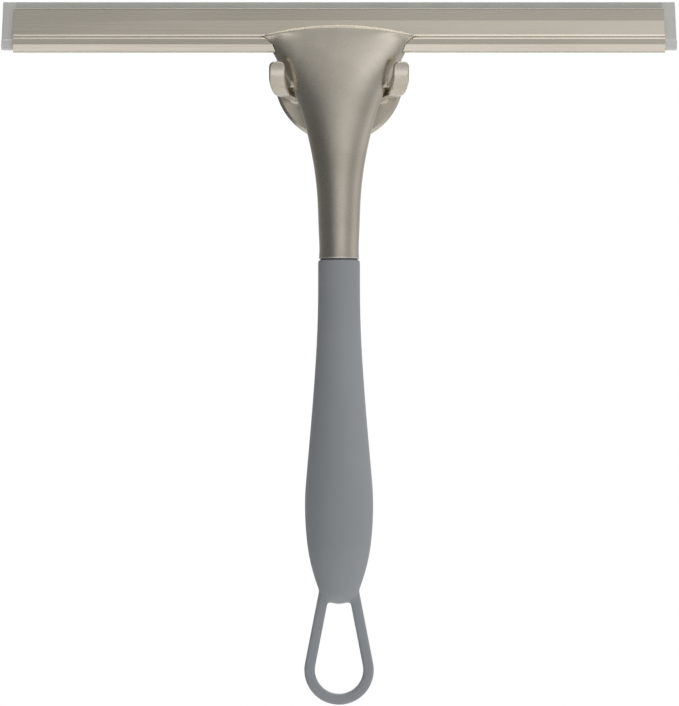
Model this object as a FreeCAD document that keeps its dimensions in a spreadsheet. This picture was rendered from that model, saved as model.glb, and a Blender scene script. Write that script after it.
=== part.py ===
"""Window cleaning squeegee hanging on its suction wall hook.

Frame: the wall is the plane Y = 0 and the object stands in front of it, towards -Y. +Z is up, X runs along
the blade. The origin is the centre of the suction cup's face on the wall. All sizes are in millimetres.
Depths are distances in front of the wall, heights are above the centre of the suction cup.
"""

import FreeCAD, Part
import math
import os
import re
import Sketcher

SIZES = [
    # blade
    ("blade_length", 305),
    ("strip_top", 32.0),
    ("strip_top_depth", 28.3),
    ("strip_thick", 2.1),
    ("blade_lean", 19.2),
    ("bead_depth", 36.0),
    ("bead_size", 4.5),
    ("bead_bottom", 9.6),
    ("bead_round", 1.2),
    ("blade_gap", 0.3),
    # channel that holds the blade
    ("channel_length", 294),
    ("channel_top", 28.8),
    ("channel_rear_top", 27.6),
    ("channel_bottom", 8.05),
    ("channel_bottom_rise", 0.85),
    ("channel_front", 38.1),
    ("channel_foot_depth", 37.1),
    ("channel_top_depth", 32.0),
    ("crease_depth", 32.9),
    ("crease_height", 23.1),
    ("shoulder_depth", 36.1),
    ("shoulder_height", 16.3),
    ("line_bead_out", 0.9),
    ("line_bead_tall", 0.7),
    ("line_bead_step", 0.4),
    ("line_bead_slant", 0.45),
    ("groove_out", 0.2),
    ("cove_depth", 37.9),
    ("cove_lean", 0.1),
    ("cove_bottom", 11.7),
    ("cove_foot", 0.3),
    ("channel_wall", 1.3),
    ("channel_round", 0.9),
    ("edge_round", 0.35),
    ("envelope_rise", 5.0),
    ("envelope_lean", 0.8),
    ("tool_overrun", 1.0),
    # handle, round about a vertical line
    ("handle_depth", 30.0),
    ("neck_bottom", -84.6),
    ("neck_bore_radius", 5.0),
    ("neck_bore_depth", 30.0),
    ("seam_gap", 0.5),
    ("seam_radius", 8.5),
    ("core_radius", 7.6),
    ("core_bottom", -222.0),
    ("stud_length", 54.0),
    ("grip_radius", 9.5),
    ("grip_round", 0.7),
    ("grip_straight_end", -97.0),
    ("grip_waist_radius", 10.57),
    ("grip_waist_height", -130.5),
    ("grip_swell_radius", 13.35),
    ("grip_swell_height", -166.7),
    ("grip_shoulder_radius", 15.0),
    ("grip_shoulder_height", -185.5),
    ("grip_widest_radius", 15.47),
    ("grip_widest_height", -198.0),
    ("grip_heel_radius", 14.35),
    ("grip_heel_height", -214.4),
    ("grip_taper_radius", 12.09),
    ("grip_taper_height", -225.7),
    ("grip_end_radius", 9.2),
    ("grip_end_height", -234.6),
    ("grip_bottom", -241.05),
    # hanging loop
    ("loop_centre", -270.95),
    ("loop_outer_radius", 15.75),
    ("loop_inner_radius", 10.95),
    ("loop_thick", 4.6),
    ("loop_side_angle", 11.0),
    ("loop_top", -231.0),
    ("loop_opening_top", -240.4),
    ("loop_round", 1.3),
    ("tongue_radius", 3.4),
    ("tongue_top", -208.0),
    ("tongue_lap", 2.0),
    ("loop_pin_radius", 1.2),
    ("loop_pin_height", -214.0),
    ("pin_end_gap", 0.25),
    # lip of the flared head, and the seat behind the channel
    ("lip_peak", 20.9),
    ("lip_arc_radius", 139.0),
    ("lip_slope", 0.24),
    ("lip_rear_depth", 34.2),
    ("lip_cone_length", 60.0),
    ("seat_width", 44.0),
    ("seat_bottom", -7.3),
    ("seat_top", 18.0),
    ("seat_front_depth", 35.1),
    ("seat_rear_depth", 21.0),
    ("seat_chamfer", 2.5),
    ("seat_round", 3.0),
    ("screw_radius", 2.0),
    ("screw_socket_radius", 1.0),
    ("screw_socket_deep", 2.0),
    ("screw_spacing", 28.0),
    ("screw_height", 11.8),
    # wall hook
    ("disc_radius", 29.85),
    ("disc_thick", 3.0),
    ("disc_back_depth", 5.6),
    ("disc_bevel", 1.3),
    ("disc_back_bevel", 0.4),
    ("cup_radius", 28.5),
    ("cup_rim_thick", 1.0),
    ("cup_boss_radius", 11.0),
    ("cup_boss_depth", 4.2),
    ("cup_seal_width", 6.0),
    ("cup_hollow", 1.4),
    ("ring_outer_radius", 27.0),
    ("ring_inner_radius", 12.0),
    ("cup_stud_radius", 2.5),
    ("cup_stud_head_radius", 6.0),
    ("cup_stud_head_thick", 1.4),
    ("cup_stud_head_depth", 2.4),
    ("cup_stud_end_depth", 12.2),
    ("washer_radius", 6.0),
    ("washer_thick", 0.8),
    ("nut_across_corners", 9.2),
    ("nut_thick", 2.5),
    # prongs of the hook
    ("prong_root_side", 19.4),
    ("prong_root_height", -7.7),
    ("prong_root_radius", 5.0),
    ("prong_root_long", 4.0),
    ("prong_root_bevel", 0.9),
    ("prong_arm_bottom", -10.7),
    ("prong_tab_side", 27.85),
    ("prong_front_depth", 42.7),
    ("prong_width", 7.2),
    ("prong_thick", 3.0),
    ("prong_bend_radius", 13.0),
    ("prong_top", 3.6),
    ("prong_corner", 2.6),
    ("prong_edge_round", 0.8),
    ("prong_screw_radius", 1.5),
    ("prong_screw_head_radius", 2.8),
    ("prong_screw_long", 5.4),
]

# Cross-sections of the head from the neck's end to above the lip: height, half width, depth of the widest
# line, and half depth.
HEAD_SECTIONS = [
    ("end", -84.6, 9.12, 30.0, 9.12),
    ("stem", -72.5, 9.22, 30.0, 9.2),
    ("neck", -60.0, 9.68, 30.0, 9.3),
    ("throat", -47.0, 10.8, 30.0, 9.5),
    ("swell", -27.1, 14.6, 30.3, 9.9),
    ("rest", -9.5, 20.3, 31.3, 9.7),
    ("flare", 3.1, 26.9, 33.6, 8.4),
    ("brim", 8.0, 29.7, 35.0, 7.4),
    ("rim", 12.4, 31.9, 36.4, 6.3),
    ("lip", 15.2, 34.8, 37.4, 5.4),
    ("over", 22.0, 41.5, 38.8, 4.4),
]

doc = FreeCAD.newDocument("squeegee")
sheet = doc.addObject("Spreadsheet::Sheet", "Sizes")


def all_sizes():
    """Every driving dimension as a pair of name and number."""
    yield from SIZES
    for section, *numbers in HEAD_SECTIONS:
        for name, number in zip(("height", "half_width", "depth", "half_depth"), numbers):
            yield f"head_{section}_{name}", number


for row, (size_name, size_value) in enumerate(all_sizes(), 1):
    sheet.set(f"A{row}", size_name)
    sheet.set(f"B{row}", str(size_value))
    sheet.setAlias(f"B{row}", size_name)
doc.recompute()


def formula(text):
    """Turn a formula in size names into one that an object's expression can hold."""
    return re.sub(r"[a-z_]+(?![a-z_(])", lambda word: f"Sizes.{word.group()}", str(text))


def value(text):
    """The number that a formula in size names gives."""
    return float(sheet.evalExpression(formula(text)))


def place(item, x=0, y=0, z=0, rotation=None):
    """Put an object's Placement at three formulas, after an optional turn."""
    if rotation:
        item.Placement = FreeCAD.Placement(FreeCAD.Vector(), rotation)
    for axis, text in (("x", x), ("y", y), ("z", z)):
        item.setExpression(f"Placement.Base.{axis}", formula(text))
    return item


TO_FRONT = FreeCAD.Rotation(FreeCAD.Vector(1, 0, 0), 90)
HANDLE = {"y": "0 - handle_depth"}


# ---- sketches and features of a body ----

def new_body(label):
    body = doc.addObject("PartDesign::Body", label)
    body.Label = label
    return body


def new_sketch(body, plane, offset=None):
    """A sketch on one of the body's own origin planes, moved along its normal by a formula."""
    sketch = body.newObject("Sketcher::SketchObject", f"{body.Name}_sketch")
    support = next(item for item in body.Origin.OriginFeatures if item.Role == plane)
    sketch.AttachmentSupport = [(support, "")]
    sketch.MapMode = "FlatFace"
    if offset:
        sketch.setExpression("AttachmentOffset.Base.z", formula(offset))
    return sketch


def pin_point(sketch, geometry, end, x, y):
    """Fix one end of a sketch line or arc at two formulas."""
    for kind, text in (("DistanceX", x), ("DistanceY", y)):
        number = sketch.addConstraint(Sketcher.Constraint(kind, -1, 1, geometry, end, value(text)))
        sketch.setExpression(f"Constraints[{number}]", formula(text))


def draw_outline(sketch, points):
    """A closed outline of straight lines through points given as pairs of formulas."""
    spots = [FreeCAD.Vector(value(x), value(y), 0) for x, y in points]
    first = sketch.GeometryCount
    count = len(spots)
    for number, spot in enumerate(spots):
        sketch.addGeometry(Part.LineSegment(spot, spots[(number + 1) % count]))
    for number, (x, y) in enumerate(points):
        before = first + (number - 1) % count
        sketch.addConstraint(Sketcher.Constraint("Coincident", first + number, 1, before, 2))
        pin_point(sketch, first + number, 1, x, y)


def size_arc(sketch, geometry, radius):
    number = sketch.addConstraint(Sketcher.Constraint("Radius", geometry, value(radius)))
    sketch.setExpression(f"Constraints[{number}]", formula(radius))


def draw_curved_side(sketch, start, points, heading):
    """A smooth run of tangent arcs from start through the points, leaving at the heading (radians)."""
    joined = None
    for x, y in points:
        here = FreeCAD.Vector(value(start[0]), value(start[1]), 0)
        there = FreeCAD.Vector(value(x), value(y), 0)
        chord = there - here
        half_turn = math.atan2(chord.y, chord.x) - heading
        radius = chord.Length / 2 / math.sin(half_turn)
        centre = here + FreeCAD.Vector(-math.sin(heading), math.cos(heading), 0) * radius
        circle = Part.Circle(centre, FreeCAD.Vector(0, 0, 1), abs(radius))
        from_angle, to_angle = [math.atan2(spot.y - centre.y, spot.x - centre.x) for spot in (here, there)]
        ends = (1, 2) if radius > 0 else (2, 1)
        angles = (from_angle, to_angle) if radius > 0 else (to_angle, from_angle)
        number = sketch.addGeometry(Part.ArcOfCircle(circle, *angles))
        if joined is None:
            pin_point(sketch, number, ends[0], *start)
        else:
            sketch.addConstraint(Sketcher.Constraint("Tangent", *joined, number, ends[0]))
        pin_point(sketch, number, ends[1], x, y)
        joined = (number, ends[1])
        heading += 2 * half_turn
        start = (x, y)
    return joined


def draw_dome(sketch, radius, height, bottom):
    """A spherical end from a point of the outline down to the axis."""
    reach, drop = value(radius), value(height) - value(bottom)
    sphere = (reach ** 2 + drop ** 2) / 2 / drop
    centre = FreeCAD.Vector(0, value(bottom) + sphere, 0)
    rise = math.asin((value(height) - centre.y) / sphere)
    number = sketch.addGeometry(Part.ArcOfCircle(Part.Circle(centre, FreeCAD.Vector(0, 0, 1), sphere),
                                                 -math.pi / 2, rise))
    pin_point(sketch, number, 1, "0", bottom)
    pin_point(sketch, number, 2, radius, height)
    sketch.addConstraint(Sketcher.Constraint("PointOnObject", number, 3, -2))


def draw_lines(sketch, points):
    """Straight lines through an open run of points."""
    for (x1, y1), (x2, y2) in zip(points, points[1:]):
        here = FreeCAD.Vector(value(x1), value(y1), 0)
        there = FreeCAD.Vector(value(x2), value(y2), 0)
        number = sketch.addGeometry(Part.LineSegment(here, there))
        pin_point(sketch, number, 1, x1, y1)
        pin_point(sketch, number, 2, x2, y2)


def pad(sketch, length, middle=True):
    """Thicken a sketch by a formula, to both sides of its plane or along its normal."""
    body = sketch.getParentGeoFeatureGroup()
    feature = body.newObject("PartDesign::Pad", f"{body.Name}_pad")
    feature.Profile = sketch
    feature.SideType = "Symmetric" if middle else "One side"
    feature.setExpression("Length", formula(length))
    doc.recompute()
    return body


def revolve(sketch):
    """Turn a sketch full circle about its vertical axis."""
    body = sketch.getParentGeoFeatureGroup()
    feature = body.newObject("PartDesign::Revolution", f"{body.Name}_turned")
    feature.Profile = sketch
    feature.ReferenceAxis = (sketch, ["V_Axis"])
    feature.Angle = 360
    doc.recompute()
    return body


def pocket(sketch):
    """Cut a sketch right through its body."""
    body = sketch.getParentGeoFeatureGroup()
    feature = body.newObject("PartDesign::Pocket", f"{body.Name}_pocket")
    feature.Profile = sketch
    feature.Type = "ThroughAll"
    feature.SideType = "Symmetric"
    doc.recompute()
    return body


def round_edges(body, radius, chosen, kind="Fillet"):
    """Round (or chamfer) the edges of a body that the chosen test picks."""
    base = body.Tip
    edges = [f"Edge{number + 1}" for number, edge in enumerate(base.Shape.Edges) if chosen(edge)]
    feature = body.newObject(f"PartDesign::{kind}", f"{body.Name}_{kind.lower()}")
    feature.Base = (base, edges)
    feature.setExpression("Radius" if kind == "Fillet" else "Size", formula(radius))
    body.Tip = feature
    doc.recompute()
    return body


def along_x_at(*spots):
    """A test for edges along X that pass through one of the (y, z) spots, given as formulas."""
    wanted = [(value(y), value(z)) for y, z in spots]

    def chosen(edge):
        box = edge.BoundBox
        if box.XLength < 1 or box.YLength + box.ZLength > 1e-3:
            return False
        return any(math.hypot(box.YMin - y, box.ZMin - z) < 0.02 for y, z in wanted)

    return chosen


# ---- Part solids and booleans ----

def cylinder(name, radius, length, rotation=None, **spot):
    item = doc.addObject("Part::Cylinder", name)
    item.setExpression("Radius", formula(radius))
    item.setExpression("Height", formula(length))
    return place(item, rotation=rotation, **spot)


def cone(name, lower_radius, upper_radius, length, rotation=None, **spot):
    item = doc.addObject("Part::Cone", name)
    item.setExpression("Radius1", formula(lower_radius))
    item.setExpression("Radius2", formula(upper_radius))
    item.setExpression("Height", formula(length))
    return place(item, rotation=rotation, **spot)


def fuse(name, *items):
    result = doc.addObject("Part::MultiFuse", name)
    result.Shapes = list(items)
    doc.recompute()
    return result


def cut(name, base, *tools):
    """Take the tools away from the base, one after the other."""
    for number, tool in enumerate(tools, 1):
        result = doc.addObject("Part::Cut", name if number == len(tools) else f"{name}_{number}")
        result.Base = base
        result.Tool = tool
        doc.recompute()
        if result.Shape.Volume >= base.Shape.Volume:
            raise RuntimeError(f"{result.Name}: the cut removes nothing")
        base = result
    return base


def common(name, base, tool):
    result = doc.addObject("Part::Common", name)
    result.Base = base
    result.Tool = tool
    doc.recompute()
    return result


def mirrored(name, source):
    """The same piece on the other side of the middle plane X = 0."""
    result = doc.addObject("Part::Mirroring", name)
    result.Source = source
    result.Normal = FreeCAD.Vector(1, 0, 0)
    doc.recompute()
    return result


# ---- blade and channel ----

def strip_line(height, side):
    """Formula for the Y of the strip's front (side 0) or rear (side 1) face at a height."""
    return (f"0 - strip_top_depth - (strip_top - {height}) * tan(blade_lean)"
            f" + {side} * strip_thick / cos(blade_lean)")


def make_blade():
    bead_top = "(bead_bottom + bead_size)"
    sketch = new_sketch(new_body("rubber_blade"), "YZ_Plane")
    draw_outline(sketch, [
        ("0 - bead_depth", "bead_bottom"),
        ("bead_size - bead_depth", "bead_bottom"),
        ("bead_size - bead_depth", bead_top),
        (strip_line(bead_top, 1), bead_top),
        (strip_line("strip_top", 1), "strip_top"),
        (strip_line("strip_top", 0), "strip_top"),
        (strip_line(bead_top, 0), bead_top),
        ("0 - bead_depth", bead_top),
    ])
    body = pad(sketch, "blade_length")
    return round_edges(body, "bead_round", along_x_at(
        ("0 - bead_depth", "bead_bottom"),
        ("bead_size - bead_depth", "bead_bottom"),
        ("0 - bead_depth", bead_top),
    ))


def make_channel():
    cavity_top = "(bead_bottom + bead_size + blade_gap)"
    cavity_rear = "bead_size + blade_gap - bead_depth"
    front_slot = " - blade_gap / cos(blade_lean)"
    rear_slot = " + blade_gap / cos(blade_lean)"
    rear_wall = f"{rear_slot} + channel_wall / cos(blade_lean)"
    rear_bottom = (f"{cavity_rear} + channel_wall", "channel_bottom + channel_bottom_rise")
    first_line = "(shoulder_height - line_bead_tall)"
    groove_low = "(shoulder_height - 2 * line_bead_tall)"
    second_line = "(shoulder_height - 3 * line_bead_tall)"
    groove_y = "0 - shoulder_depth - groove_out"
    line_y = "0 - shoulder_depth - line_bead_out"
    sketch = new_sketch(new_body("blade_channel"), "YZ_Plane")
    draw_outline(sketch, [
        ("0 - channel_top_depth", "channel_top"),
        ("0 - crease_depth", "crease_height"),
        ("0 - shoulder_depth", "shoulder_height"),
        (f"{line_y} + line_bead_slant", "shoulder_height"),
        (line_y, first_line),
        (groove_y, first_line),
        (groove_y, groove_low),
        (f"{line_y} - line_bead_step + line_bead_slant", groove_low),
        (f"{line_y} - line_bead_step", second_line),
        ("0 - cove_depth", second_line),
        ("0 - cove_depth - cove_lean", "cove_bottom + cove_foot"),
        ("0 - channel_front", "cove_bottom"),
        ("0 - channel_foot_depth", "channel_bottom"),
        rear_bottom,
        (f"{cavity_rear} + channel_wall", cavity_top),
        (strip_line("channel_rear_top", 1) + rear_wall, "channel_rear_top"),
        (strip_line("channel_rear_top", 1) + rear_slot, "channel_rear_top"),
        (strip_line(cavity_top, 1) + rear_slot, cavity_top),
        (cavity_rear, cavity_top),
        (cavity_rear, "bead_bottom - blade_gap"),
        ("0 - bead_depth - blade_gap", "bead_bottom - blade_gap"),
        ("0 - bead_depth - blade_gap", cavity_top),
        (strip_line(cavity_top, 0) + front_slot, cavity_top),
        (strip_line("channel_top", 0) + front_slot, "channel_top"),
    ])
    body = pad(sketch, "channel_length")
    round_edges(body, "channel_round", along_x_at(("0 - channel_foot_depth", "channel_bottom")))
    return round_edges(body, "edge_round", along_x_at(
        ("0 - channel_top_depth", "channel_top"),
        rear_bottom,
        (strip_line("channel_rear_top", 1) + rear_wall, "channel_rear_top"),
    ))


def make_channel_envelope():
    """The channel's outer outline as one solid block, which the head's seat is cut to."""
    rear = "bead_size + blade_gap - bead_depth + channel_wall"
    jaw = " + (blade_gap + channel_wall) / cos(blade_lean)"
    sketch = new_sketch(new_body("channel_envelope"), "YZ_Plane")
    groove = "0 - shoulder_depth - line_bead_out - line_bead_step"
    top = "(channel_top + envelope_rise)"
    draw_outline(sketch, [
        ("0 - channel_top_depth + envelope_lean", top),
        ("0 - channel_top_depth", "channel_top"),
        ("0 - crease_depth", "crease_height"),
        ("0 - shoulder_depth", "shoulder_height"),
        (groove, "shoulder_height"),
        ("0 - channel_front", "cove_bottom"),
        ("0 - channel_foot_depth", "channel_bottom"),
        (rear, "channel_bottom + channel_bottom_rise"),
        (rear, "(bead_bottom + bead_size + blade_gap)"),
        (strip_line("channel_rear_top", 1) + jaw, "channel_rear_top"),
        (strip_line(top, 1) + jaw, top),
    ])
    return pad(sketch, "channel_length")


# ---- head ----

def make_flare():
    """The trumpet shape, through elliptical cross-sections."""
    rings = []
    for section, *_ in HEAD_SECTIONS:
        ring = doc.addObject("Part::Ellipse", f"head_{section}")
        ring.setExpression("MajorRadius", formula(f"head_{section}_half_width"))
        ring.setExpression("MinorRadius", formula(f"head_{section}_half_depth"))
        rings.append(place(ring, y=f"0 - head_{section}_depth", z=f"head_{section}_height"))
    doc.recompute()
    flare = doc.addObject("Part::Loft", "head_flare")
    flare.Sections = rings
    flare.Solid = True
    flare.Ruled = False
    return flare


def make_seat():
    """The block under and behind the channel."""
    sketch = new_sketch(new_body("head_seat"), "YZ_Plane")
    draw_outline(sketch, [
        ("0 - seat_front_depth", "seat_bottom"),
        ("0 - seat_front_depth", "seat_top"),
        ("0 - seat_rear_depth - seat_chamfer", "seat_top"),
        ("0 - seat_rear_depth", "seat_top - seat_chamfer"),
        ("0 - seat_rear_depth", "seat_bottom"),
    ])
    body = pad(sketch, "seat_width")
    rear = -value("seat_rear_depth")

    def upright_at_rear(edge):
        box = edge.BoundBox
        return box.XLength < 1e-3 and abs(box.YMin - rear) < 1e-3 and abs(box.YMax - rear) < 1e-3

    return round_edges(body, "seat_round", upright_at_rear)


def make_head(envelope):
    blank = fuse("head_blank", make_flare(), make_seat())
    lip_cone = cone("lip_cone",
                    "lip_arc_radius - lip_slope * lip_cone_length / 2",
                    "lip_arc_radius + lip_slope * lip_cone_length / 2",
                    "lip_cone_length", rotation=FreeCAD.Rotation(FreeCAD.Vector(1, 0, 0), -90),
                    y="0 - lip_rear_depth - lip_cone_length / 2",
                    z="lip_peak - lip_arc_radius")
    trimmed = common("head_trimmed", blank, lip_cone)
    tools = [envelope,
             cylinder("neck_bore", "neck_bore_radius", "neck_bore_depth", z="neck_bottom", **HANDLE)]
    for side in (-1, 1):
        tools.append(cylinder(f"clamp_hole_{side}", "screw_radius", "channel_front - seat_rear_depth",
                              rotation=TO_FRONT, x=f"{side} * screw_spacing / 2",
                              y="tool_overrun - seat_rear_depth", z="screw_height"))
    return cut("head", trimmed, *tools)


def make_clamp_screws():
    tip = "bead_depth - bead_size - blade_gap - channel_wall"
    screws = []
    for side in (-1, 1):
        spot = {"x": f"{side} * screw_spacing / 2", "y": "0 - seat_rear_depth", "z": "screw_height"}
        shank = cylinder(f"clamp_shank_{side}", "screw_radius", f"{tip} - seat_rear_depth",
                         rotation=TO_FRONT, **spot)
        socket = cylinder(f"clamp_socket_{side}", "screw_socket_radius", "screw_socket_deep",
                          rotation=TO_FRONT, **spot)
        screws.append(cut(f"clamp_screw_{side}", shank, socket))
    return fuse("clamp_screws", *screws)


# ---- handle ----

def make_grip_blank():
    """The grip's full outline turned about the handle's axis, with the core's bore."""
    grip_top = "neck_bottom - seam_gap"
    sketch = new_sketch(new_body("grip_blank"), "XZ_Plane")
    draw_lines(sketch, [
        ("0", "grip_bottom"),
        ("0", "core_bottom"),
        ("core_radius", "core_bottom"),
        ("core_radius", grip_top),
        ("grip_radius - grip_round", grip_top),
        ("grip_radius", f"{grip_top} - grip_round"),
        ("grip_radius", "grip_straight_end"),
    ])
    draw_curved_side(sketch, ("grip_radius", "grip_straight_end"), [
        (f"grip_{station}_radius", f"grip_{station}_height")
        for station in ("waist", "swell", "shoulder", "widest", "heel", "taper", "end")
    ], heading=-math.pi / 2)
    draw_dome(sketch, "grip_end_radius", "grip_end_height", "grip_bottom")
    doc.recompute()
    return place(revolve(sketch), **HANDLE)


def loop_half_width(radius, height):
    """Half width of the loop's straight sides, tangent to a round end of this radius, at a height."""
    return f"{radius} / cos(loop_side_angle) - ({height} - loop_centre) * tan(loop_side_angle)"


def make_loop_blank():
    """The teardrop loop's plate, with its opening."""
    body = new_body("loop_blank")
    sketch = new_sketch(body, "XZ_Plane")
    for radius, top in (("loop_outer_radius", "loop_top"), ("loop_inner_radius", "loop_opening_top")):
        touch_x = f"{radius} * cos(loop_side_angle)"
        touch_z = f"loop_centre + {radius} * sin(loop_side_angle)"
        side = loop_half_width(radius, top)
        draw_lines(sketch, [
            (touch_x, touch_z),
            (side, top),
            (f"0 - ({side})", top),
            (f"0 - {touch_x}", touch_z),
        ])
        centre = FreeCAD.Vector(0, value("loop_centre"), 0)
        lean = math.radians(value("loop_side_angle"))
        circle = Part.Circle(centre, FreeCAD.Vector(0, 0, 1), value(radius))
        arc = Part.ArcOfCircle(circle, math.pi - lean, lean)
        number = sketch.addGeometry(arc)
        pin_point(sketch, number, 1, f"0 - {touch_x}", touch_z)
        pin_point(sketch, number, 2, touch_x, touch_z)
        size_arc(sketch, number, radius)
    doc.recompute()
    pad(sketch, "loop_thick")
    round_edges(body, "loop_round", lambda edge: edge.BoundBox.YLength < 1e-3)
    return place(body, **HANDLE)


def make_loop():
    blank = fuse("loop_with_tongue", make_loop_blank(), make_tongue("loop_tongue"))
    return cut("hanging_loop", blank, pin_hole("loop_pin_hole"))


def make_loop_slot():
    """The slot in the grip's end that the loop's root fills."""
    top_side = loop_half_width("loop_outer_radius", "loop_top")
    low_side = loop_half_width("loop_outer_radius", "loop_opening_top")
    sketch = new_sketch(new_body("loop_slot"), "XZ_Plane")
    draw_outline(sketch, [
        (top_side, "loop_top"),
        (f"0 - ({top_side})", "loop_top"),
        (f"0 - ({low_side})", "loop_opening_top"),
        (low_side, "loop_opening_top"),
    ])
    return place(pad(sketch, "loop_thick"), **HANDLE)


def make_tongue(name):
    return cylinder(name, "tongue_radius", "tongue_top - loop_opening_top - tongue_lap",
                    z="loop_opening_top + tongue_lap", **HANDLE)


def pin_hole(name):
    return cylinder(name, "loop_pin_radius", "2 * core_radius", rotation=TO_FRONT,
                    y="core_radius - handle_depth", z="loop_pin_height")


def make_loop_pin():
    """The cross pin, with its ends just under the core's round surface."""
    return cylinder("loop_pin", "loop_pin_radius", "2 * (core_radius - pin_end_gap)", rotation=TO_FRONT,
                    y="core_radius - pin_end_gap - handle_depth", z="loop_pin_height")


def make_core():
    rod = cylinder("core_rod", "core_radius", "neck_bottom - core_bottom", z="core_bottom", **HANDLE)
    collar = cylinder("core_collar", "seam_radius", "seam_gap", z="neck_bottom - seam_gap", **HANDLE)
    stud_bore = cylinder("core_stud_bore", "neck_bore_radius", "stud_length - neck_bore_depth",
                         z="neck_bottom - stud_length + neck_bore_depth", **HANDLE)
    tongue_bore = cylinder("core_tongue_bore", "tongue_radius", "tongue_top - core_bottom",
                           z="core_bottom", **HANDLE)
    blank = fuse("core_blank", rod, collar)
    return cut("handle_core", blank, stud_bore, tongue_bore, pin_hole("core_pin_hole"))


# ---- wall hook ----

def turned(label, points):
    """A piece turned about the hook's axis: points are pairs of radius and depth."""
    sketch = new_sketch(new_body(label), "XY_Plane")
    draw_outline(sketch, [(radius, f"0 - ({depth})") for radius, depth in points])
    return revolve(sketch)


CUP_SLOPE = "(cup_boss_depth - cup_rim_thick) / (cup_radius - cup_boss_radius)"


def cup_back(radius):
    """Depth of the cup's sloping back at a radius."""
    return f"cup_rim_thick + (cup_radius - {radius}) * {CUP_SLOPE}"


def make_cup(stud):
    blank = turned("cup_blank", [
        ("0", "cup_hollow"),
        ("cup_radius - cup_seal_width", "0"),
        ("cup_radius", "0"),
        ("cup_radius", "cup_rim_thick"),
        ("cup_boss_radius", "cup_boss_depth"),
        ("0", "cup_boss_depth"),
    ])
    return cut("suction_cup", blank, stud)


def make_cup_stud():
    head_front = "(cup_stud_head_depth + cup_stud_head_thick)"
    return turned("cup_stud", [
        ("0", "cup_stud_head_depth"),
        ("cup_stud_head_radius", "cup_stud_head_depth"),
        ("cup_stud_head_radius", head_front),
        ("cup_stud_radius", head_front),
        ("cup_stud_radius", "cup_stud_end_depth"),
        ("0", "cup_stud_end_depth"),
    ])


def make_pressure_ring():
    return turned("pressure_ring", [
        ("ring_inner_radius", cup_back("ring_inner_radius")),
        ("ring_outer_radius", cup_back("ring_outer_radius")),
        ("ring_outer_radius", "disc_back_depth"),
        ("ring_inner_radius", "disc_back_depth"),
    ])


def make_disc():
    front = "(disc_back_depth + disc_thick)"
    blank = turned("disc_blank", [
        ("cup_stud_radius", "disc_back_depth"),
        ("disc_radius - disc_back_bevel", "disc_back_depth"),
        ("disc_radius", "disc_back_depth + disc_back_bevel"),
        ("disc_radius", f"{front} - disc_bevel"),
        ("disc_radius - disc_bevel", front),
        ("cup_stud_radius", front),
    ])
    holes = [prong_screw(f"disc_screw_hole_{side}", side) for side in (-1, 1)]
    return cut("hook_disc", blank, *holes)


def prong_screw(name, side):
    """A countersunk screw from the disc's back into one prong's root."""
    spot = {"x": f"{side} * prong_root_side", "y": "0 - disc_back_depth", "z": "prong_root_height"}
    shank = cylinder(f"{name}_shank", "prong_screw_radius", "prong_screw_long", rotation=TO_FRONT, **spot)
    head = cone(f"{name}_head", "prong_screw_head_radius", "prong_screw_radius",
                "prong_screw_head_radius - prong_screw_radius", rotation=TO_FRONT, **spot)
    return fuse(name, shank, head)


def make_washer():
    front = "(disc_back_depth + disc_thick)"
    return turned("stud_washer", [
        ("cup_stud_radius", front),
        ("washer_radius", front),
        ("washer_radius", f"{front} + washer_thick"),
        ("cup_stud_radius", f"{front} + washer_thick"),
    ])


def make_nut():
    """Thin hexagon nut on the cup's stud."""
    blank = doc.addObject("Part::Prism", "nut_blank")
    blank.Polygon = 6
    blank.setExpression("Circumradius", formula("nut_across_corners / 2"))
    blank.setExpression("Height", formula("nut_thick"))
    place(blank, rotation=TO_FRONT, y="0 - disc_back_depth - disc_thick - washer_thick")
    bore = cylinder("nut_bore", "cup_stud_radius", "cup_stud_end_depth + tool_overrun", rotation=TO_FRONT)
    return cut("stud_nut", blank, bore)


def draw_corner(sketch, side):
    """The piece outside the tab's rounded top corner, on the side -1 or 1."""
    edge_x = f"prong_tab_side + {side} * prong_width / 2"
    inner_x = f"{edge_x} - {side} * prong_corner"
    outer_x = f"{edge_x} + {side} * tool_overrun"
    low_z = "prong_top - prong_corner"
    high_z = "prong_top + tool_overrun"
    ends = [(edge_x, low_z), (inner_x, "prong_top")]
    draw_lines(sketch, [ends[1], (inner_x, high_z), (outer_x, high_z), (outer_x, low_z), ends[0]])
    centre = FreeCAD.Vector(value(inner_x), value(low_z), 0)
    circle = Part.Circle(centre, FreeCAD.Vector(0, 0, 1), value("prong_corner"))
    if side > 0:
        number = sketch.addGeometry(Part.ArcOfCircle(circle, 0, math.pi / 2))
    else:
        number = sketch.addGeometry(Part.ArcOfCircle(circle, math.pi / 2, math.pi))
        ends.reverse()
    pin_point(sketch, number, 1, *ends[0])
    pin_point(sketch, number, 2, *ends[1])
    size_arc(sketch, number, "prong_corner")


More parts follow.
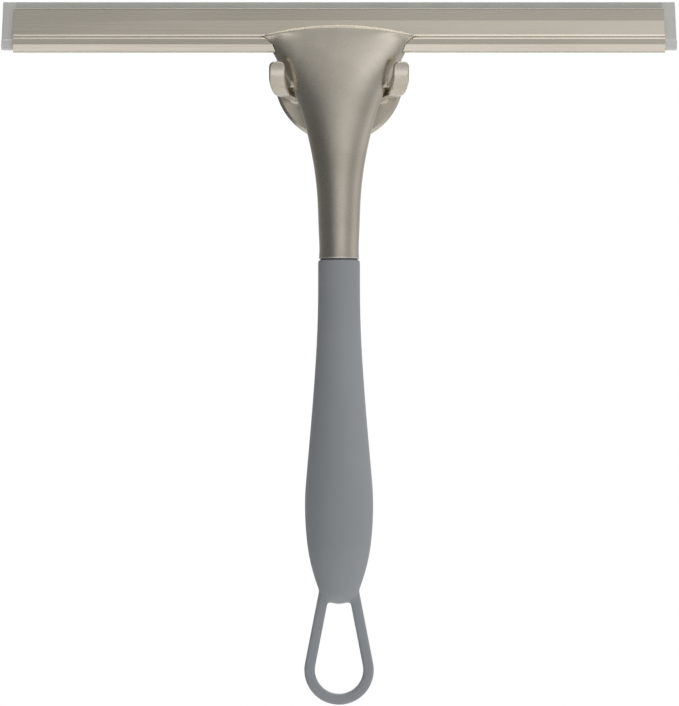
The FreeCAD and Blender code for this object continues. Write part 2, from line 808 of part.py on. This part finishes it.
def make_prong(name):
    """One prong: a round root on the disc and a strap that runs forward and bends up into a tab."""
    front = "(disc_back_depth + disc_thick)"
    body = new_body(f"{name}_strap")
    sketch = new_sketch(body, "YZ_Plane")
    draw_outline(sketch, [
        (f"0 - {front}", "prong_arm_bottom"),
        (f"0 - {front}", "prong_arm_bottom + prong_thick"),
        ("prong_thick - prong_front_depth", "prong_arm_bottom + prong_thick"),
        ("prong_thick - prong_front_depth", "prong_top"),
        ("0 - prong_front_depth", "prong_top"),
        ("0 - prong_front_depth", "prong_arm_bottom"),
    ])
    pad(sketch, "2 * (prong_tab_side + prong_width)")
    round_edges(body, "prong_bend_radius", along_x_at(("0 - prong_front_depth", "prong_arm_bottom")))
    round_edges(body, "prong_bend_radius - prong_thick",
                along_x_at(("prong_thick - prong_front_depth", "prong_arm_bottom + prong_thick")))
    for side in (-1, 1):
        half = f"{side} * prong_width / 2"
        far = f"{side} * (prong_tab_side + prong_width + tool_overrun)"
        plan = new_sketch(body, "XY_Plane")
        draw_outline(plan, [
            (f"prong_root_side + {half}", f"0 - {front}"),
            (f"prong_tab_side + {half}", "prong_thick - prong_front_depth"),
            (f"prong_tab_side + {half}", "0 - prong_front_depth - tool_overrun"),
            (far, "0 - prong_front_depth - tool_overrun"),
            (far, f"0 - {front}"),
        ])
        pocket(plan)
        corner = new_sketch(body, "XZ_Plane")
        draw_corner(corner, side)
        pocket(corner)
    low, top, bend = value("prong_arm_bottom"), value("prong_top"), value("prong_bend_radius")
    tab_front = -value("prong_front_depth")

    def on_outer_face(edge):
        """True round the tab's front, along the bend and under the arm."""
        box = edge.BoundBox
        spot = edge.valueAt((edge.FirstParameter + edge.LastParameter) / 2)
        if box.YLength + box.ZLength < 1e-3:
            return spot.y < tab_front + 1e-3 and spot.z > top - 1e-3
        from_bend = math.hypot(spot.y - tab_front - bend, spot.z - low - bend)
        return spot.y < tab_front + 1e-3 or spot.z < low + 1e-3 or abs(from_bend - bend) < 1e-3

    round_edges(body, "prong_edge_round", on_outer_face)
    root = place(turned(f"{name}_root", [
        ("0", front),
        ("prong_root_radius", front),
        ("prong_root_radius", f"{front} + prong_root_long - prong_root_bevel"),
        ("prong_root_radius - prong_root_bevel", f"{front} + prong_root_long"),
        ("0", f"{front} + prong_root_long"),
    ]), x="prong_root_side", z="prong_root_height")
    return cut(name, fuse(f"{name}_blank", body, root), prong_screw(f"{name}_screw_hole", 1))


# ---- the pieces ----

channel_envelope = make_channel_envelope()
right_prong = make_prong("right_prong")
cup_stud = make_cup_stud()
hanging_loop = make_loop()
neck_stud = cylinder("neck_stud", "neck_bore_radius", "stud_length",
                     z="neck_bottom - stud_length + neck_bore_depth", **HANDLE)

PIECES = {
    "rubber_blade": make_blade(),
    "blade_channel": make_channel(),
    "head": make_head(channel_envelope),
    "clamp_screws": make_clamp_screws(),
    "handle_core": make_core(),
    "neck_stud": neck_stud,
    "soft_grip": cut("soft_grip", make_grip_blank(), make_loop_slot(), make_tongue("tongue_hole")),
    "hanging_loop": hanging_loop,
    "loop_pin": make_loop_pin(),
    "suction_cup": make_cup(cup_stud),
    "cup_stud": cup_stud,
    "pressure_ring": make_pressure_ring(),
    "hook_disc": make_disc(),
    "stud_washer": make_washer(),
    "stud_nut": make_nut(),
    "left_prong": mirrored("left_prong", right_prong),
    "right_prong": right_prong,
    "prong_screws": fuse("prong_screws", *[prong_screw(f"prong_screw_{side}", side) for side in (-1, 1)]),
}

doc.recompute()
for item in doc.Objects:
    if {"Invalid", "Error"} & set(item.State):
        raise RuntimeError(f"{item.Name} failed: {item.State}")
os.makedirs("parts", exist_ok=True)
for node, item in PIECES.items():
    item.Label = node
    if item.Shape.isNull() or not item.Shape.isValid():
        raise RuntimeError(f"{node} has no valid shape")
    item.Shape.exportStep(f"parts/{node}.step")
    print(f"{node}: {len(item.Shape.Solids)} solid(s), {item.Shape.Volume:.0f} mm3")
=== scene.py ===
import math

import bpy
import numpy as np
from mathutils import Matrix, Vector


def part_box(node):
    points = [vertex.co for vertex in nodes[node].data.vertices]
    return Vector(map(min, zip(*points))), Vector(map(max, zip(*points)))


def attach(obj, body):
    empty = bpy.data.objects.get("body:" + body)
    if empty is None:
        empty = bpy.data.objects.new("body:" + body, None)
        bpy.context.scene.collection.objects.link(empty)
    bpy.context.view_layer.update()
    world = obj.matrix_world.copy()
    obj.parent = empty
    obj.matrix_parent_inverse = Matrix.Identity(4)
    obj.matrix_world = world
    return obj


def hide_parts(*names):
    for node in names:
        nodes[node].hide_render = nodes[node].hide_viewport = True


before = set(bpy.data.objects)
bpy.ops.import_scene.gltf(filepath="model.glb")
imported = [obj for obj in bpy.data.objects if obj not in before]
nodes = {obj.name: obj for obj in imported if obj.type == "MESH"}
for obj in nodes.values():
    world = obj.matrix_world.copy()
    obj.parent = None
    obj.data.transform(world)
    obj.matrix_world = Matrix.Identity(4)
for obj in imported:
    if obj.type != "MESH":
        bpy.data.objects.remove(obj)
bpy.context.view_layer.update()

# Window cleaning squeegee on its suction wall hook, in metres. The wall is the plane Y = 0, the
# object stands in front of it towards -Y, and +Z is up.

scene = bpy.context.scene
scene.view_settings.view_transform = "Standard"

# ---- camera: straight in front of the object, level with its middle ----

CAMERA_DISTANCE = 1.180          # in front of the plane of the blade's bead
CAMERA_HEIGHT = -0.1273
CAMERA_SIDE = 0.0002             # how far the view's middle is to the right of the object's
VIEW_TALL = 0.3185               # height of the view in the bead's plane
SENSOR_WIDTH = 36                # in millimetres, as the lens is


def make_camera():
    data = bpy.data.cameras.new("camera")
    data.sensor_width = SENSOR_WIDTH
    data.lens = SENSOR_WIDTH * CAMERA_DISTANCE / VIEW_TALL
    camera = bpy.data.objects.new("camera", data)
    bead_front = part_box("rubber_blade")[0].y
    camera.location = (CAMERA_SIDE, bead_front - CAMERA_DISTANCE, CAMERA_HEIGHT)
    camera.rotation_euler = (math.radians(90), 0, 0)
    scene.collection.objects.link(camera)
    scene.camera = camera


# ---- node helpers ----

BEVEL_SAMPLES = 6


class Tree:
    """A node tree that is built by short calls. Inputs are values or other nodes' outputs."""

    def __init__(self, owner):
        owner.use_nodes = True
        self.tree = owner.node_tree
        self.tree.nodes.clear()

    def put(self, node, name, value):
        socket = node.inputs[name]
        if isinstance(value, bpy.types.NodeSocket):
            self.tree.links.new(value, socket)
        else:
            socket.default_value = value

    def add(self, kind, inputs=(), **settings):
        """A node with its settings and its inputs, a dict of socket name or number to value."""
        node = self.tree.nodes.new(kind)
        for name, value in settings.items():
            setattr(node, name, value)
        for name, value in dict(inputs).items():
            self.put(node, name, value)
        return node

    def math(self, operation, a, b=0.0):
        return self.add("ShaderNodeMath", {0: a, 1: b}, operation=operation).outputs[0]

    def spread(self, value, low, high, to_low=0.0, to_high=1.0, kind="SMOOTHSTEP"):
        """The value's place between low and high, as a number between to_low and to_high."""
        inputs = {0: value, 1: low, 2: high, 3: to_low, 4: to_high}
        return self.add("ShaderNodeMapRange", inputs, interpolation_type=kind).outputs[0]

    def grey_ramp(self, value, stops):
        """Grey of a value, by stops of (place, brightness), straight between them."""
        node = self.add("ShaderNodeValToRGB", {0: value})
        node.color_ramp.interpolation = "LINEAR"
        elements = node.color_ramp.elements
        while len(elements) < len(stops):
            elements.new(0.5)
        for element, (place, bright) in zip(elements, stops):
            element.position = place
            element.color = (bright, bright, bright, 1)
        return node.outputs[0]

    def grey(self, value):
        return self.add("ShaderNodeCombineColor", {0: value, 1: value, 2: value}).outputs[0]

    def mix(self, factor, a, b, blend="MIX"):
        """Two colours mixed, each a tuple or another node's output."""
        node = self.add("ShaderNodeMix", data_type="RGBA", blend_type=blend)
        self.put(node, "Factor", factor)
        for socket, value in zip([s for s in node.inputs if s.type == "RGBA"], (a, b)):
            if isinstance(value, bpy.types.NodeSocket):
                self.tree.links.new(value, socket)
            else:
                socket.default_value = (*value, 1)
        return next(s for s in node.outputs if s.type == "RGBA")

    def noise(self, scale, detail, stretch=(1, 1, 1)):
        """Noise with features about 1 / scale metres wide, stretched along the axes."""
        point = self.add("ShaderNodeTexCoord").outputs["Object"]
        mapping = self.add("ShaderNodeMapping", {"Vector": point, "Scale": stretch})
        inputs = {"Vector": mapping.outputs[0], "Scale": scale, "Detail": detail}
        return self.add("ShaderNodeTexNoise", inputs).outputs[0]

    def place(self):
        """The point's X, Y and Z."""
        point = self.add("ShaderNodeTexCoord").outputs["Object"]
        return self.add("ShaderNodeSeparateXYZ", {0: point}).outputs

    def height(self):
        return self.place()["Z"]

    def rounded(self, radius):
        """Normals that soften every edge to about this radius."""
        return self.add("ShaderNodeBevel", {"Radius": radius}, samples=BEVEL_SAMPLES).outputs[0]

    def bump(self, height, distance, strength, normal=None):
        inputs = {"Height": height, "Distance": distance, "Strength": strength}
        if normal is not None:
            inputs["Normal"] = normal
        return self.add("ShaderNodeBump", inputs).outputs[0]


def material(name, build):
    """A new material whose shader the build function makes."""
    made = bpy.data.materials.new(name)
    tree = Tree(made)
    output = tree.add("ShaderNodeOutputMaterial")
    shader = tree.add("ShaderNodeBsdfPrincipled")
    build(tree, shader)
    tree.tree.links.new(shader.outputs[0], output.inputs[0])
    return made


# ---- sizes read from the CAD nodes ----

BLADE_LOW, BLADE_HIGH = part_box("rubber_blade")
STRIP_TOP = BLADE_HIGH.z
CUP_LOW, CUP_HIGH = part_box("suction_cup")
CHANNEL_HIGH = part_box("blade_channel")[1]
NECK_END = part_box("head")[0].z

# ---- materials ----

# Values of a noise that a finish's two colours or its two roughnesses stand for.
MID_NOISE = (0.35, 0.65)
WIDE_NOISE = (0.3, 0.7)

NICKEL = (0.66, 0.61, 0.525)
NICKEL_SHADE = (0.60, 0.553, 0.472)
# Painted highlight at the neck's end: a lighter tint for the bright ring there, the height of its
# band, and how softly it fades.
RING_PAINTED_HIGHLIGHT = (0.76, 0.72, 0.66)     # a lighter tint for the bright ring at the neck's end
RING_HIGHLIGHT_TALL = 0.0005
RING_HIGHLIGHT_EASE = 0.0002
# Painted shade: a darker tint on the channel's rounded upper edge that hides the line the overhead
# glow draws there.
EDGE_PAINTED_SHADE = (0.31, 0.293, 0.258)
EDGE_BAND = 0.0007
HEAD_EDGE = 0.0010                   # radius that the head's edges are softened to
HOOK_EDGE = 0.0004


def blasted_nickel(edge, highlight_top=None):
    """Satin nickel plate over a finely blasted surface, its edges softened to about this radius.
    What is lower than the ring's top, if one is given, carries a painted highlight, a lighter tint."""
    def build(tree, shader):
        cloud = tree.noise(60, 2)
        grain = tree.noise(3600, 2)
        colour = tree.mix(tree.spread(cloud, *MID_NOISE), NICKEL_SHADE, NICKEL)
        # Painted highlight: the band at the neck's end is tinted lighter.
        if highlight_top is not None:
            ring = tree.spread(tree.height(), highlight_top + RING_HIGHLIGHT_EASE, highlight_top)
            colour = tree.mix(ring, colour, RING_PAINTED_HIGHLIGHT)
        shader.inputs["Metallic"].default_value = 1.0
        tree.put(shader, "Base Color", colour)
        tree.put(shader, "Roughness", tree.spread(grain, *WIDE_NOISE, 0.255, 0.305, "LINEAR"))
        tree.put(shader, "Normal", tree.bump(grain, 0.00002, 0.10, tree.rounded(edge)))
    return build


def brushed_nickel(tree, shader):
    """Satin nickel on an extrusion, with fine draw lines along X and a painted shade along its
    upper edge.
    """
    streaks = tree.noise(2600, 3, stretch=(0.006, 1, 1))
    cloud = tree.noise(40, 2, stretch=(0.2, 1, 1))
    shader.inputs["Metallic"].default_value = 1.0
    colour = tree.mix(tree.spread(cloud, *MID_NOISE), NICKEL_SHADE, NICKEL)
    # Painted shade along the channel's upper edge.
    top = CHANNEL_HIGH.z
    edge = tree.spread(tree.height(), top - EDGE_BAND, top - EDGE_BAND / 2)
    tree.put(shader, "Base Color", tree.mix(edge, colour, EDGE_PAINTED_SHADE))
    tree.put(shader, "Roughness", tree.spread(streaks, *WIDE_NOISE, 0.22, 0.34, "LINEAR"))
    tree.put(shader, "Normal", tree.bump(streaks, 0.00001, 0.4))


def soft_touch(base, shade):
    """Matt moulded rubber with a very fine even grain."""
    def build(tree, shader):
        grain = tree.noise(2600, 3)
        cloud = tree.noise(35, 3)
        tree.put(shader, "Base Color", tree.mix(tree.spread(cloud, *WIDE_NOISE), shade, base))
        tree.put(shader, "Roughness", tree.spread(grain, *WIDE_NOISE, 0.56, 0.66, "LINEAR"))
        tree.put(shader, "Normal", tree.bump(grain, 0.00002, 0.35))
        shader.inputs["Specular IOR Level"].default_value = 0.35
        shader.inputs["Sheen Weight"].default_value = 0.12
        shader.inputs["Sheen Roughness"].default_value = 0.5
    return build


SILICONE = (0.67, 0.675, 0.62)
SILICONE_SHADE = (0.63, 0.635, 0.58)
SILICONE_WORN = (0.72, 0.725, 0.68)
# Tints for the blade's ends, which stand for the light that comes through them.
SILICONE_END = (0.78, 0.775, 0.74)
SILICONE_END_BEAD = (0.95, 0.94, 0.92)
WORN_TALL = 0.0012
WORN_SHARE = 0.35
END_EASE = 0.001
BEAD_SHADES = (0.006, 0.003)         # heights over the underside where paleness starts and is full


def silicone(tree, shader):
    """Frosted translucent silicone of the blade. It is slightly paler along the lip, and its ends,
    where they stand out of the channel, carry painted light: a lighter tint for the light that
    comes through them."""
    streaks = tree.noise(1500, 2, stretch=(0.01, 1, 1))
    cloud = tree.noise(50, 2)
    height = tree.height()
    lip = tree.spread(height, STRIP_TOP - WORN_TALL, STRIP_TOP, 0.0, WORN_SHARE)
    side = tree.math("ABSOLUTE", tree.place()["X"])
    # Painted light on the ends, for the light that comes through them.
    end = tree.spread(side, CHANNEL_HIGH.x - END_EASE, CHANNEL_HIGH.x)
    low = tree.spread(height, *(BLADE_LOW.z + shade for shade in BEAD_SHADES))
    body = tree.mix(tree.spread(cloud, *WIDE_NOISE), SILICONE_SHADE, SILICONE)
    body = tree.mix(end, body, tree.mix(low, SILICONE_END, SILICONE_END_BEAD))
    tree.put(shader, "Base Color", tree.mix(lip, body, SILICONE_WORN))
    tree.put(shader, "Roughness", tree.spread(streaks, *WIDE_NOISE, 0.36, 0.46, "LINEAR"))
    tree.put(shader, "Normal", tree.bump(streaks, 0.00001, 0.3))
    shader.inputs["Transmission Weight"].default_value = 0.25
    shader.inputs["IOR"].default_value = 1.41


def clear_vinyl(tree, shader):
    """Clear soft vinyl of the suction cup, faintly uneven."""
    cloud = tree.noise(80, 2)
    tree.put(shader, "Base Color",
             tree.mix(tree.spread(cloud, *WIDE_NOISE), (0.78, 0.82, 0.82), (0.84, 0.87, 0.87)))
    tree.put(shader, "Roughness", tree.spread(cloud, *WIDE_NOISE, 0.10, 0.18))
    shader.inputs["Transmission Weight"].default_value = 0.75
    shader.inputs["IOR"].default_value = 1.5


def zinc_steel(tree, shader):
    """Bright zinc-plated steel."""
    cloud = tree.noise(400, 3)
    shader.inputs["Metallic"].default_value = 1.0
    tree.put(shader, "Base Color", tree.mix(cloud, (0.55, 0.56, 0.57), (0.68, 0.69, 0.70)))
    tree.put(shader, "Roughness", tree.spread(cloud, *WIDE_NOISE, 0.22, 0.36))


def black_oxide(tree, shader):
    """Blackened steel of the clamp screws."""
    cloud = tree.noise(600, 3)
    shader.inputs["Metallic"].default_value = 1.0
    tree.put(shader, "Base Color", tree.mix(cloud, (0.05, 0.05, 0.055), (0.09, 0.09, 0.095)))
    tree.put(shader, "Roughness", tree.spread(cloud, *WIDE_NOISE, 0.35, 0.5))


def dark_plastic(tree, shader):
    """Dark moulded plastic with a spark-eroded texture."""
    grain = tree.noise(1800, 3)
    cloud = tree.noise(60, 2)
    tree.put(shader, "Base Color", tree.mix(cloud, (0.020, 0.020, 0.022), (0.032, 0.032, 0.035)))
    tree.put(shader, "Roughness", tree.spread(grain, *WIDE_NOISE, 0.45, 0.6, "LINEAR"))
    tree.put(shader, "Normal", tree.bump(grain, 0.00003, 0.4))


GRIP_GREY = (0.388, 0.410, 0.430)
GRIP_SHADE = (0.366, 0.388, 0.407)

FINISHES = {
    "head_nickel": (blasted_nickel(HEAD_EDGE, NECK_END + RING_HIGHLIGHT_TALL), ["head"]),
    "hook_nickel": (blasted_nickel(HOOK_EDGE), ["hook_disc", "left_prong", "right_prong"]),
    "drawn_nickel": (brushed_nickel, ["blade_channel"]),
    "grip_rubber": (soft_touch(GRIP_GREY, GRIP_SHADE), ["soft_grip", "hanging_loop"]),
    "blade_silicone": (silicone, ["rubber_blade"]),
    "cup_vinyl": (clear_vinyl, ["suction_cup"]),
    "zinc_steel": (zinc_steel, ["cup_stud", "stud_washer", "stud_nut", "prong_screws", "neck_stud",
                                "loop_pin"]),
    "black_oxide": (black_oxide, ["clamp_screws"]),
    "dark_plastic": (dark_plastic, ["handle_core", "pressure_ring"]),
}


def finish_nodes():
    """Give every CAD node its finish, and return the finishes by name."""
    made = {}
    for name, (build, members) in FINISHES.items():
        made[name] = material(name, build)
        for member in members:
            data = nodes[member].data
            data.materials.clear()
            data.materials.append(made[name])
    return made


# ---- soft pieces ----

def new_piece(name, vertices, faces, body, finish, replaced):
    """A mesh piece with its finish, that rides on a body and stands for CAD nodes."""
    data = bpy.data.meshes.new(name)
    data.from_pydata(vertices, [], faces)
    piece = bpy.data.objects.new(name, data)
    scene.collection.objects.link(piece)
    data.materials.append(finish)
    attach(piece, body)
    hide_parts(*replaced)
    return piece


def smooth(piece, sharp_angle):
    """Smooth shading, with edges sharper than an angle in degrees kept."""
    piece.data.shade_smooth()
    piece.data.set_sharp_from_angle(angle=math.radians(sharp_angle))


def bake_modifiers(piece):
    """Turn a piece's modifiers into its mesh."""
    shape = piece.evaluated_get(bpy.context.evaluated_depsgraph_get())
    data = bpy.data.meshes.new_from_object(shape)
    piece.modifiers.clear()
    piece.data = data


VOXEL = 0.0004
SMOOTHING = 0.5
OVERALL_ROUNDS = 6
FILLET_ROUNDS = 24
JUNCTION_TOP = -0.2310           # the loop's root merges into the grip between these heights
JUNCTION_BOTTOM = -0.2425
JUNCTION_EASE = 0.004


def make_grip(finish):
    """Grip and hanging loop as one moulding: both shapes joined, with a soft fillet at the root."""
    vertices, faces = [], []
    for member in ("soft_grip", "hanging_loop"):
        data = nodes[member].data
        first = len(vertices)
        vertices += [vertex.co[:] for vertex in data.vertices]
        faces += [[first + corner for corner in face.vertices] for face in data.polygons]
    grip = new_piece("grip_moulding", vertices, faces, "squeegee", finish,
                     ("soft_grip", "hanging_loop"))
    remesh = grip.modifiers.new("remesh", "REMESH")
    remesh.mode = "VOXEL"
    remesh.voxel_size = VOXEL
    bake_modifiers(grip)
    overall = grip.modifiers.new("overall", "SMOOTH")
    overall.factor = SMOOTHING
    overall.iterations = OVERALL_ROUNDS
    junction = grip.vertex_groups.new(name="junction")
    for vertex in grip.data.vertices:
        z = vertex.co.z
        outside = max(z - JUNCTION_TOP, JUNCTION_BOTTOM - z, 0.0)
        weight = 1 - outside / JUNCTION_EASE
        if weight > 0:
            junction.add([vertex.index], weight, "REPLACE")
    fillet = grip.modifiers.new("fillet", "SMOOTH")
    fillet.vertex_group = "junction"
    fillet.factor = SMOOTHING
    fillet.iterations = FILLET_ROUNDS
    bake_modifiers(grip)
    grip.data.shade_smooth()
    grip.data.materials.clear()
    grip.data.materials.append(finish)


CORNER_STEPS = 5


def rounded_outline(corners):
    """Points of a closed outline, its corners given as (y, z, radius) and rounded."""
    outline = []
    for number, (y, z, radius) in enumerate(corners):
        spot = np.array((y, z))
        before = np.array(corners[number - 1][:2]) - spot
        after = np.array(corners[(number + 1) % len(corners)][:2]) - spot
        before /= np.linalg.norm(before)
        after /= np.linalg.norm(after)
        half = math.acos(np.clip(before @ after, -1, 1)) / 2
        middle = (before + after) / np.linalg.norm(before + after)
        centre = spot + middle * radius / math.sin(half)
        start = spot + before * radius / math.tan(half) - centre
        end = spot + after * radius / math.tan(half) - centre
        for step in range(CORNER_STEPS + 1):
            share = step / CORNER_STEPS
            way = start * (1 - share) + end * share
            outline.append(centre + way / np.linalg.norm(way) * radius)
    return np.array(outline)


def inset(outline, distance):
    """The outline moved inwards by a distance."""
    ahead = np.roll(outline, -1, axis=0) - outline
    ahead /= np.linalg.norm(ahead, axis=1)[:, None]
    behind = np.roll(ahead, 1, axis=0)
    along = ahead + behind
    along /= np.linalg.norm(along, axis=1)[:, None]
    inward = np.stack((-along[:, 1], along[:, 0]), axis=1)
    return outline + inward * distance


BEAD_SIZE = 0.0045
BEAD_ROUND = 0.0012
BEAD_TOP_REAR_ROUND = 0.0003
BEAD_TOP_FRONT_ROUND = 0.0006
STRIP_ROOT_ROUND = 0.0001
LIP_ROUND = 0.00012
BLADE_LEAN = math.radians(19.2)
STRIP_THICK = 0.0021
BLADE_END_ROUND = 0.0003
BLADE_END_TURNS = (0, 30, 60, 90)    # degrees round the end's edge
BLADE_RINGS = 60                     # spaces between rings along the blade's straight part
BLADE_SHARP = 35


def make_blade(finish):
    """The silicone blade: square bead with a leaning strip, all edges moulded soft but the lip."""
    thick = STRIP_THICK / math.cos(BLADE_LEAN)
    rear_top = BLADE_HIGH.y
    bead_top = BLADE_LOW.z + BEAD_SIZE
    drop = (STRIP_TOP - bead_top) * math.tan(BLADE_LEAN)
    bead_rear = BLADE_LOW.y + BEAD_SIZE
    outline = rounded_outline([
        (BLADE_LOW.y, BLADE_LOW.z, BEAD_ROUND),
        (bead_rear, BLADE_LOW.z, BEAD_ROUND),
        (bead_rear, bead_top, BEAD_TOP_REAR_ROUND),
        (rear_top - drop, bead_top, STRIP_ROOT_ROUND),
        (rear_top, STRIP_TOP, LIP_ROUND),
        (rear_top - thick, STRIP_TOP, LIP_ROUND),
        (rear_top - thick - drop, bead_top, STRIP_ROOT_ROUND),
        (BLADE_LOW.y, bead_top, BEAD_TOP_FRONT_ROUND),
    ])
    # Each ring is its place along X and how far its outline is drawn in.
    turns = [math.radians(angle) for angle in BLADE_END_TURNS]
    rings = [(BLADE_LOW.x + BLADE_END_ROUND * (1 - math.cos(turn)),
              BLADE_END_ROUND * (1 - math.sin(turn))) for turn in turns]
    span = BLADE_HIGH.x - BLADE_LOW.x - 2 * BLADE_END_ROUND
    rings += [(BLADE_LOW.x + BLADE_END_ROUND + span * step / BLADE_RINGS, 0.0)
              for step in range(1, BLADE_RINGS)]
    rings += [(-x, depth) for x, depth in rings[len(turns) - 1::-1]]
    vertices = []
    for x, depth in rings:
        vertices += [(x, y, z) for y, z in inset(outline, depth)]
    count = len(outline)
    faces = [list(range(count))[::-1]]
    for ring in range(len(rings) - 1):
        for corner in range(count):
            here, there = ring * count + corner, ring * count + (corner + 1) % count
            faces.append([here, there, there + count, here + count])
    faces.append([(len(rings) - 1) * count + corner for corner in range(count)])
    blade = new_piece("blade_strip", vertices, faces, "blade", finish,
                      ("rubber_blade",))
    smooth(blade, BLADE_SHARP)


CUP_RIM_THICK = 0.001
CUP_BOSS_RADIUS = 0.011
CUP_SHANK = 0.0025                   # radius of the stud's hole
STUD_HEAD_THICK = 0.0014
CUP_HOLLOW = 0.0014
HOLLOW_STEPS = [(0.0, 1.0), (0.008, 0.93), (0.015, 0.62)]    # radius, share of the hollow's depth
CUP_SEAL_WIDTH = 0.006
SEAL_SPAN = 0.95                     # share of the seal's width that has ridges
SEAL_RIDGES = 3
RIDGE_STEPS = 8
SEAL_GROOVE = 0.00018
CUP_SIDES = 120
CUP_SHARP = 40


def make_cup(finish):
    """The clear suction cup, turned about the hook's axis, with fine sealing ridges and a hole for
    its stud."""
    rim = CUP_HIGH.x
    boss = -CUP_LOW.y
    stud_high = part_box("cup_stud")[1]
    head_radius, head_back = stud_high.x, -stud_high.y
    head_front = head_back + STUD_HEAD_THICK
    outline = [(radius, CUP_HOLLOW * share) for radius, share in HOLLOW_STEPS]
    outline.append((rim - CUP_SEAL_WIDTH, SEAL_GROOVE))
    for step in range(1, SEAL_RIDGES * RIDGE_STEPS):
        share = step / (SEAL_RIDGES * RIDGE_STEPS)
        wave = 0.5 - 0.5 * math.cos(math.tau * SEAL_RIDGES * share)
        outline.append((rim - CUP_SEAL_WIDTH * (1 - share * SEAL_SPAN), SEAL_GROOVE * (1 - wave)))
    # The rim's rounded edge, the slope up to the boss, the stud's hole and the room for its head.
    outline += [(rim - 0.0001, 0.0002), (rim, CUP_RIM_THICK * 0.5), (rim, CUP_RIM_THICK * 0.85),
                (rim - 0.0004, CUP_RIM_THICK + 0.00005), (CUP_BOSS_RADIUS + 0.0006, boss - 0.00015),
                (CUP_BOSS_RADIUS - 0.0002, boss), (CUP_SHANK, boss), (CUP_SHANK, head_front),
                (head_radius, head_front), (head_radius, head_back), (0.0, head_back)]
    vertices, faces, first_of = [], [], []
    for radius, depth in outline:
        first_of.append(len(vertices))
        sides = CUP_SIDES if radius > 0 else 1
        for side in range(sides):
            angle = math.tau * side / CUP_SIDES
            vertices.append((radius * math.cos(angle), -depth, radius * math.sin(angle)))
    for number in range(len(outline) - 1):
        here, there = first_of[number], first_of[number + 1]
        for side in range(CUP_SIDES):
            after = (side + 1) % CUP_SIDES
            if outline[number][0] == 0:
                faces.append([here, there + after, there + side])
            elif outline[number + 1][0] == 0:
                faces.append([here + side, here + after, there])
            else:
                faces.append([here + side, here + after, there + after, there + side])
    cup = new_piece("vinyl_cup", vertices, faces, "wall_hook", finish,
                    ("suction_cup",))
    smooth(cup, CUP_SHARP)


# ---- studio ----

# Brightness of the studio level with the object, by degrees from the front towards the right.
STUDIO_ROUND = [(-180, 0.83), (-165, 0.45), (-150, 0.32), (-128, 0.22), (-98, 0.15), (-53, 0.14),
                (-38, 0.20), (-23, 0.32), (-8, 0.47), (7, 0.56), (22, 0.53), (37, 0.50),
                (52, 0.41), (67, 0.44), (82, 0.60), (97, 0.66), (112, 0.62), (127, 0.50),
                (145, 0.48), (160, 0.70), (180, 0.83)]
GROUND_SLOPES = (-40, -58)           # degrees up where the ground starts and is full
GROUND_SIDES = (-0.55, -0.15)        # X of the directions where it is dim and where it is bright
GROUND_DIM = 0.42
GROUND_BRIGHT = 1.0
# Soft glows: degrees towards the right, degrees up, sharpness, brightness. One has a negative
# brightness: it takes light away.
GLOWS = [(19, -22, 30, 0.78), (-10, -29, 60, 1.05), (42, 56, 14, 0.55), (-20, 52, 14, -0.13),
         (-5, 18, 20, 0.05), (180, 80, 26, 7.0)]


def heading(right, up):
    """Unit vector for a direction seen from the object."""
    right, up = math.radians(right), math.radians(up)
    return (math.sin(right) * math.cos(up), -math.cos(right) * math.cos(up), math.sin(up))


def make_world():
    """A soft studio: dark on the left, mid grey in front, with a pale ground, glows in front and a
    bright one overhead that lights the floor. The camera itself sees plain white."""
    world = bpy.data.worlds.new("studio")
    scene.world = world
    tree = Tree(world)
    way = tree.add("ShaderNodeTexCoord").outputs["Generated"]
    axes = tree.add("ShaderNodeSeparateXYZ", {0: way}).outputs
    azimuth = tree.math("ARCTAN2", axes["X"], tree.math("MULTIPLY", axes["Y"], -1.0))
    turn = tree.spread(azimuth, -math.pi, math.pi, kind="LINEAR")
    level = tree.grey_ramp(turn, [((angle + 180) / 360, bright) for angle, bright in STUDIO_ROUND])
    below = tree.spread(axes["Z"], *(math.sin(math.radians(slope)) for slope in GROUND_SLOPES))
    ground = tree.spread(axes["X"], *GROUND_SIDES, GROUND_DIM, GROUND_BRIGHT)
    light = tree.mix(below, level, tree.grey(ground))
    for right, up, sharp, bright in GLOWS:
        aim = tree.add("ShaderNodeVectorMath", {0: way, 1: heading(right, up)},
                       operation="DOT_PRODUCT").outputs["Value"]
        near = tree.math("POWER", tree.math("MAXIMUM", aim, 0.0), sharp)
        light = tree.mix(1.0, light, tree.grey(tree.math("MULTIPLY", near, bright)), "ADD")
    seen = tree.add("ShaderNodeLightPath").outputs["Is Camera Ray"]
    background = tree.add("ShaderNodeBackground", {"Color": tree.mix(seen, light, (1.0, 1.0, 1.0))})
    output = tree.add("ShaderNodeOutputWorld")
    tree.tree.links.new(background.outputs[0], output.inputs[0])


FLOOR_HEIGHT = -0.60
FLOOR_RADIUS = 0.65
FLOOR_CORNERS = 96


def make_floor():
    """A round pale floor under the object."""
    angles = [math.tau * corner / FLOOR_CORNERS for corner in range(FLOOR_CORNERS)]
    ring = [(FLOOR_RADIUS * math.cos(angle), FLOOR_RADIUS * math.sin(angle), FLOOR_HEIGHT)
            for angle in angles]
    data = bpy.data.meshes.new("floor")
    data.from_pydata(ring, [], [range(FLOOR_CORNERS)])
    floor = bpy.data.objects.new("floor", data)
    scene.collection.objects.link(floor)

    def pale(tree, shader):
        cloud = tree.noise(4, 2)
        tree.put(shader, "Base Color", tree.mix(cloud, (0.80, 0.80, 0.79), (0.84, 0.84, 0.83)))
        shader.inputs["Roughness"].default_value = 0.8

    data.materials.append(material("pale_floor", pale))


make_camera()
finishes = finish_nodes()
make_grip(finishes["grip_rubber"])
make_blade(finishes["blade_silicone"])
make_cup(finishes["cup_vinyl"])
make_world()
make_floor()
